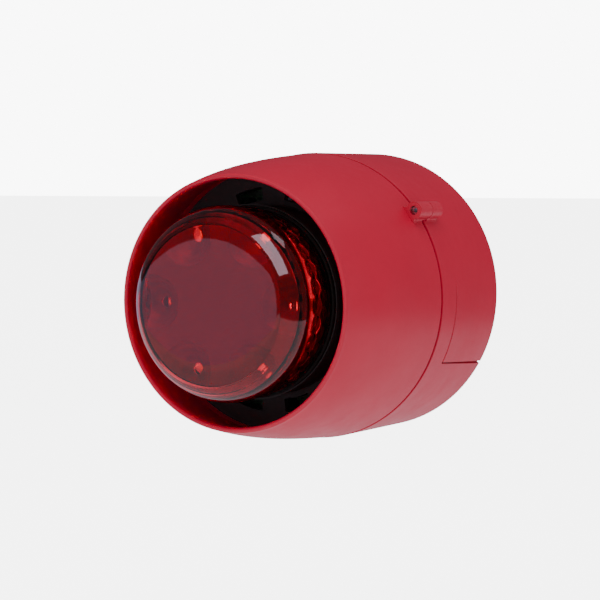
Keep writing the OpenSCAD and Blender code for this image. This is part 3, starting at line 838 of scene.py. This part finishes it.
def lens_outside():
    """From the skirt's back edge to the middle of the face."""
    skirt = [(SKIRT_OUT, d) for d in between(LENS_BACK, SHOULDER_DEPTH - 0.9 * MM, SKIRT_RINGS)]
    lip = [(LENS_R - 0.3 * MM, SHOULDER_DEPTH - 0.5 * MM)]
    shoulder = arc(SHOULDER_R, 0, SHOULDER_TOP, 32, (SHOULDER_MID, SHOULDER_DEPTH))
    face = [(FACE_R * (1 - k / 24), FACE_DEPTH + FACE_DOME * (1 - (1 - k / 24) ** 8))
            for k in range(1, 25)]
    return skirt + lip + shoulder + face


def lens_inside():
    """From the middle of the face's back, round the ribbed shoulder, to the skirt's edge."""
    top = FACE_DEPTH - LENS_WALL
    bend = SHOULDER_R - LENS_WALL
    start = math.asin((top - SHOULDER_DEPTH) / bend)
    face = [(SHOULDER_MID * k / 8, top) for k in range(8)]
    shoulder = []
    for k in range(24, -1, -1):
        rib = RIB * (k % 6 < 2)
        a = start * k / 24
        r = min(SHOULDER_MID + (bend + rib) * math.cos(a), SKIRT_IN)
        shoulder.append((r, SHOULDER_DEPTH + (bend + rib) * math.sin(a)))
    skirt = [(SKIRT_IN, d) for d in between(SHOULDER_DEPTH - 0.6 * MM, LENS_BACK, 8)]
    return face + shoulder + skirt


LENS_OUTSIDE = lens_outside()


def prism_push(index, r, depth, angle):
    """How far the skirt bulges out at a point: two rows of round bumps, half a pitch apart."""
    if index > SKIRT_RINGS:
        return 0.0
    best = 0.0
    for row, middle in enumerate(PRISM_ROWS):
        turn = (angle / (2 * math.pi) * PRISMS + row * 0.5) % 1.0 - 0.5
        across = turn * 2 * math.pi * r / PRISMS
        distance = math.hypot(across, depth - middle) / PRISM_HALF
        if distance < 1:
            best = max(best, (1 - distance ** 2) ** 0.5 * PRISM_OUT)
    return best


# %% Build the lens
def lens_tabs():
    tabs = []
    tube_in = LENS_R - 2.8 * MM
    for angle in (0, 120, 240):
        a, half = math.radians(angle), math.radians(7)
        web = arc_band(LENS_R - 2.2 * MM, tube_in - 1.3 * MM, a - half, a + half, 8)
        tab = arc_band(tube_in - 0.2 * MM, tube_in - 1.3 * MM, a - half, a + half, 8)
        hook = arc_band(tube_in + MM, tube_in - 1.3 * MM, a - half, a + half, 8)
        tabs.append(prism("web", web, LENS_BACK + 0.05 * MM, LENS_BACK + 1.8 * MM))
        tabs.append(prism("tab", tab, LENS_BACK - 7.5 * MM, LENS_BACK + 0.5 * MM))
        tabs.append(prism("hook", hook, LENS_BACK - 7.5 * MM, LENS_BACK - 6.0 * MM))
    return tabs


lens = turned("beacon_lens", LENS_OUTSIDE + lens_inside(), segments=432, push=prism_push)
combine(lens, lens_tabs(), "UNION")
lens.data.set_sharp_from_angle(angle=math.radians(28))
lens.visible_shadow = False
adopt(lens, "head", "lens_red", "lens")

# %% [markdown]
# ## The reflector
#
# Behind the face sits a satin plate with a plain middle and six scallops round its rim, one
# round each light source's window. Each scallop goes down in three rounded steps, which show
# through the lens as nested arcs. The plate is a grid in rings, whose height is a formula of
# the distance to the nearest scallop's middle.

# %% Build the reflector
REFLECTOR_R = radius("reflector")
PLATE_BACK, PLATE_FRONT = depths("reflector")[0], depths("reflector")[1]
SCALLOPS = 6
SCALLOP_AT = 22.8 * MM
SCALLOP_R = 8.2 * MM
STEPS = 3
STEP_DOWN = 2.2 * MM
LEG_R, LEG_AT = 1.5 * MM, 22 * MM
WINDOW_R = 1.6 * MM


def scallop_depth(x, z):
    """How far the plate lies behind its front at a point."""
    angle = math.atan2(z, x)
    nearest = round(angle / (2 * math.pi / SCALLOPS)) * (2 * math.pi / SCALLOPS)
    away = math.hypot(x - SCALLOP_AT * math.cos(nearest), z - SCALLOP_AT * math.sin(nearest))
    if away >= SCALLOP_R:
        return 0.0
    steps = (1 - away / SCALLOP_R) * STEPS * 1.25
    whole = min(STEPS, int(steps))
    part = min(1.0, steps - whole) if whole < STEPS else 0.0
    ramp = part ** 0.45 if part > 0 else 0.0
    return STEP_DOWN * (whole + ramp)


def build_reflector():
    bm = bmesh.new()
    rings, segments = 66, 288
    sheets = []
    for back in (0.0, 0.7 * MM):
        grid = [[bm.verts.new((0, -(PLATE_FRONT - back), 0))]]
        for i in range(1, rings + 1):
            r = REFLECTOR_R * i / rings
            ring = []
            for k in range(segments):
                angle = 2 * math.pi * k / segments
                x, z = r * math.cos(angle), r * math.sin(angle)
                ring.append(bm.verts.new((x, -(PLATE_FRONT - scallop_depth(x, z) - back), z)))
            grid.append(ring)
        sheets.append(grid)
    for grid in sheets:
        for k in range(segments):
            n = (k + 1) % segments
            bm.faces.new((grid[0][0], grid[1][k], grid[1][n]))
            for a, b in zip(grid[1:], grid[2:]):
                bm.faces.new((a[k], b[k], b[n], a[n]))
    for k in range(segments):
        n = (k + 1) % segments
        bm.faces.new((sheets[0][-1][k], sheets[1][-1][k], sheets[1][-1][n], sheets[0][-1][n]))
    return new_object("scalloped_reflector", bm, 40)


reflector = build_reflector()
leg_back = depths("beacon_board")[0] - MM
legs = [round_bar("leg", LEG_R, math.radians(a), LEG_AT, leg_back, PLATE_FRONT - 0.5 * MM, 24)
        for a in THIRDS]
windows = []
for k in range(SCALLOPS):
    windows.append(round_bar("window", WINDOW_R, 2 * math.pi * k / SCALLOPS, SCALLOP_AT,
                             PLATE_BACK - MM, PLATE_FRONT, 32))
combine(reflector, legs, "UNION")
combine(reflector, windows, "DIFFERENCE")
adopt(reflector, "head", "reflector_satin", "reflector")

# %% [markdown]
# ## The sounder's leads
#
# Real leads are never straight. Each bows a little to one side between its two ends. A curve
# with a round bevel is the simplest way to make a wire.


# %% Leads
def lead(name, node, slot, bow):
    low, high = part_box(node)
    x, z = (low.x + high.x) / 2, (low.z + high.z) / 2
    curve = bpy.data.curves.new(name, "CURVE")
    curve.dimensions = "3D"
    curve.bevel_depth = (high.x - low.x) / 2 * 0.9
    curve.bevel_resolution = 6
    curve.use_fill_caps = True
    line = curve.splines.new("BEZIER")
    line.bezier_points.add(2)
    for point, share in zip(line.bezier_points, (0, 0.5, 1)):
        point.co = (x + bow * math.sin(math.pi * share), high.y + (low.y - high.y) * share, z)
        point.handle_left_type = point.handle_right_type = "AUTO"
    obj = bpy.data.objects.new(name, curve)
    bpy.context.collection.objects.link(obj)
    bpy.context.view_layer.objects.active = obj
    obj.data.materials.append(MATERIALS[slot])
    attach(obj, "head")
    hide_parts(node)
    print(name, "follows", node)


lead("sounder_lead_red", "piezo_lead_red", "lead_red", 0.25 * MM)
lead("sounder_lead_black", "piezo_lead_black", "lead_black", -0.25 * MM)

# %% [markdown]
# ## Studio
#
# A pale table, a pale surround and one broad soft light from above. What a glossy lens shows
# is what stands round it, so its reflections are set on purpose: glowing cards that show in
# reflections and nowhere else, and darkness between them. The table has two strengths of
# glow. The camera sees the strong one, and the object is lit by the weak one.


# %% Table and surround
def studio_material(name, colour, emission=0.0, tint=(1, 1, 1)):
    material = bpy.data.materials.new(name)
    material.use_nodes = True
    shader = material.node_tree.nodes["Principled BSDF"]
    shader.inputs["Base Color"].default_value = (*colour, 1)
    shader.inputs["Roughness"].default_value = 0.9
    shader.inputs["Emission Color"].default_value = (*tint, 1)
    shader.inputs["Emission Strength"].default_value = emission
    return material


def card(name, centre, facing, width, height, material):
    """A flat panel that faces a direction, built from four corners."""
    bm = bmesh.new()
    for x, y in ((-1, -1), (1, -1), (1, 1), (-1, 1)):
        bm.verts.new((x * width / 2, y * height / 2, 0))
    bm.faces.new(bm.verts)
    mesh = bpy.data.meshes.new(name)
    bm.to_mesh(mesh)
    bm.free()
    obj = bpy.data.objects.new(name, mesh)
    obj.data.materials.append(material)
    turn = Vector(facing).to_track_quat("Z", "Y").to_matrix().to_4x4()
    obj.matrix_world = Matrix.Translation(centre) @ turn
    bpy.context.collection.objects.link(obj)
    return obj


TABLE_DEPTH, TABLE_SIDE = 0.12, 30
TABLE_GLOW, TABLE_GLOW_SEEN = 0.35, 4.5
pale_table = studio_material("pale_table", (0.88, 0.88, 0.88), TABLE_GLOW)
paint = pale_table.node_tree
seen = paint.nodes.new("ShaderNodeLightPath")
brighter = paint.nodes.new("ShaderNodeMath")
brighter.operation = "MULTIPLY_ADD"
brighter.inputs[1].default_value = TABLE_GLOW_SEEN
brighter.inputs[2].default_value = TABLE_GLOW
paint.links.new(seen.outputs["Is Camera Ray"], brighter.inputs[0])
paint.links.new(brighter.outputs[0], paint.nodes["Principled BSDF"].inputs["Emission Strength"])
table = card("table", Vector((0, 0, -TABLE_DEPTH)), (0, 0, 1), TABLE_SIDE, TABLE_SIDE, pale_table)
table.visible_glossy = False


def glossy_only(obj):
    """A card that shows in reflections and nowhere else."""
    obj.visible_camera = False
    obj.visible_diffuse = False
    obj.visible_shadow = False
    obj.visible_transmission = False
    return obj


table_glow = card("table_glow", Vector((-0.35, -0.35, -TABLE_DEPTH - 0.001)), (0, 0, 1), 1.6, 1.6,
                  studio_material("table_reflection", (0, 0, 0), 0.85, (1.0, 0.90, 1.0)))
glossy_only(table_glow)


def curved_wall(name, radius_m, start, end, low, high, material, count=48):
    """A low wall that bends round the object from one azimuth to another."""
    bm = bmesh.new()
    posts = []
    for azimuth in between(math.radians(start), math.radians(end), count):
        way = direction(azimuth, 0) * radius_m
        posts.append([bm.verts.new((AIM.x + way.x, AIM.y + way.y, z)) for z in (low, high)])
    for a, b in zip(posts, posts[1:]):
        bm.faces.new((a[0], b[0], b[1], a[1]))
    mesh = bpy.data.meshes.new(name)
    bm.to_mesh(mesh)
    bm.free()
    obj = bpy.data.objects.new(name, mesh)
    obj.data.materials.append(material)
    bpy.context.collection.objects.link(obj)
    return obj


WALL_FROM, WALL_TO, WALL_AT = -185, -5, 0.9
WALL_LOW, WALL_HIGH = -0.6, WALL_AT * math.tan(math.radians(4.5))
low_wall = curved_wall("low_wall", WALL_AT, WALL_FROM, WALL_TO, WALL_LOW, WALL_HIGH,
                       studio_material("low_wall_glow", (0, 0, 0), 0.85, (0.88, 0.82, 1.15)))
glossy_only(low_wall)
print("stage set")

# %% [markdown]
# The strip light stands exactly where the lens's shoulder mirrors it: the direction to the
# camera is reflected about the shoulder's normal, and the light is put along that line. Light
# linking keeps it to the lens, and keeps a small glow to the beacon's inner pieces. That glow
# isn't physical: it stands in for the light that the prisms would gather.


# %% Lights
def softbox(name, location, target, width, height, power, colour=(1, 1, 1)):
    """A rectangular area light that faces a target."""
    data = bpy.data.lights.new(name, "AREA")
    data.shape = "RECTANGLE"
    data.size, data.size_y = width, height
    data.energy = power
    data.color = colour
    obj = bpy.data.objects.new(name, data)
    obj.location = location
    obj.rotation_mode = "QUATERNION"
    obj.rotation_quaternion = (Vector(target) - Vector(location)).to_track_quat("-Z", "Y")
    bpy.context.collection.objects.link(obj)
    return obj


def shine_only_on(light, *objects):
    """Light linking: the light reaches these objects and no others."""
    lit = bpy.data.collections.new(light.name + "_reaches")
    for obj in objects:
        lit.objects.link(obj)
    light.light_linking.receiver_collection = lit


def mirrored(angle, tilt):
    """Where the lens's shoulder sends a ray from the camera; tilt is how far it faces forward."""
    outwards = math.cos(tilt)
    normal = Vector((math.cos(angle) * outwards, -math.sin(tilt), math.sin(angle) * outwards))
    return 2 * to_camera.dot(normal) * normal - to_camera


STRIP_AWAY, STRIP_ANGLE = 0.8, 38
STRIP_POWER, TOP_POWER, GLOW_POWER = 4.5, 11, 0.12
strip_point = place(LENS_R - 3 * MM, FACE_DEPTH - 3 * MM, math.radians(STRIP_ANGLE))
low, high, right, left = [
    mirrored(math.radians(angle), math.radians(tilt))
    for angle, tilt in ((STRIP_ANGLE, 34), (STRIP_ANGLE, 50), (20, 42), (57, 42))]
strip_way = (low + high + right + left).normalized()
strip_light = softbox("strip_light", strip_point + strip_way * STRIP_AWAY, strip_point,
                      (right - left).length * STRIP_AWAY, (low - high).length * STRIP_AWAY,
                      STRIP_POWER, (0.95, 0.86, 1.0))
across = (right - left).normalized()
side = strip_way.cross(across).normalized()
light_axes = Matrix((side.cross(strip_way), side, strip_way)).transposed()
strip_light.rotation_quaternion = light_axes.to_quaternion()
strip_light.visible_diffuse = False
strip_light.visible_transmission = False
shine_only_on(strip_light, lens)
small_way = mirrored(math.radians(45), math.radians(22))
small_card = card("small_card", strip_point + small_way * STRIP_AWAY, -small_way, 0.2, 0.2,
                  studio_material("small_card_glow", (0, 0, 0), 2.5, (0.95, 0.90, 1.0)))
glossy_only(small_card)
top_light = softbox("top_light", Vector((0.1, -0.5, 1.1)), AIM, 1.2, 1.2, TOP_POWER)
top_light.visible_glossy = False

glow = bpy.data.lights.new("inner_glow", "POINT")
glow.energy = GLOW_POWER
glow.color = (1.0, 0.72, 0.6)
glow.shadow_soft_size = 0.003
inner_glow = bpy.data.objects.new("inner_glow", glow)
inner_glow.location = (0, -(LENS_BACK + 8.5 * MM), 0)
bpy.context.collection.objects.link(inner_glow)
inner_glow.parent = frame["bodies"]["head"]
beacon_nodes = [nodes[name] for name in ("beacon_board", "beacon_lights", "beacon_standoffs")]
shine_only_on(inner_glow, reflector, *beacon_nodes)
print("strip light at", [round(c, 2) for c in strip_light.location])

# %% World: pale for the eye and for soft light, dark in reflections
world = bpy.data.worlds.new("surround")
bpy.context.scene.world = world
world.use_nodes = True
sky = world.node_tree
SKIES = {"Is Camera Ray": (1.0, 1.0, 1.0, 9.0), "Is Glossy Ray": (0.95, 0.85, 1.0, 0.10)}
soft = sky.nodes["Background"]
soft.inputs["Color"].default_value = (0.95, 0.95, 0.96, 1)
soft.inputs["Strength"].default_value = 0.95
rays = sky.nodes.new("ShaderNodeLightPath")
result = soft.outputs[0]
for ray, (*colour, strength) in SKIES.items():
    other = sky.nodes.new("ShaderNodeBackground")
    other.inputs["Color"].default_value = (*colour, 1)
    other.inputs["Strength"].default_value = strength
    blend = sky.nodes.new("ShaderNodeMixShader")
    sky.links.new(rays.outputs[ray], blend.inputs["Fac"])
    sky.links.new(result, blend.inputs[1])
    sky.links.new(other.outputs[0], blend.inputs[2])
    result = blend.outputs[0]
sky.links.new(result, sky.nodes["World Output"].inputs["Surface"])
print("world ready")
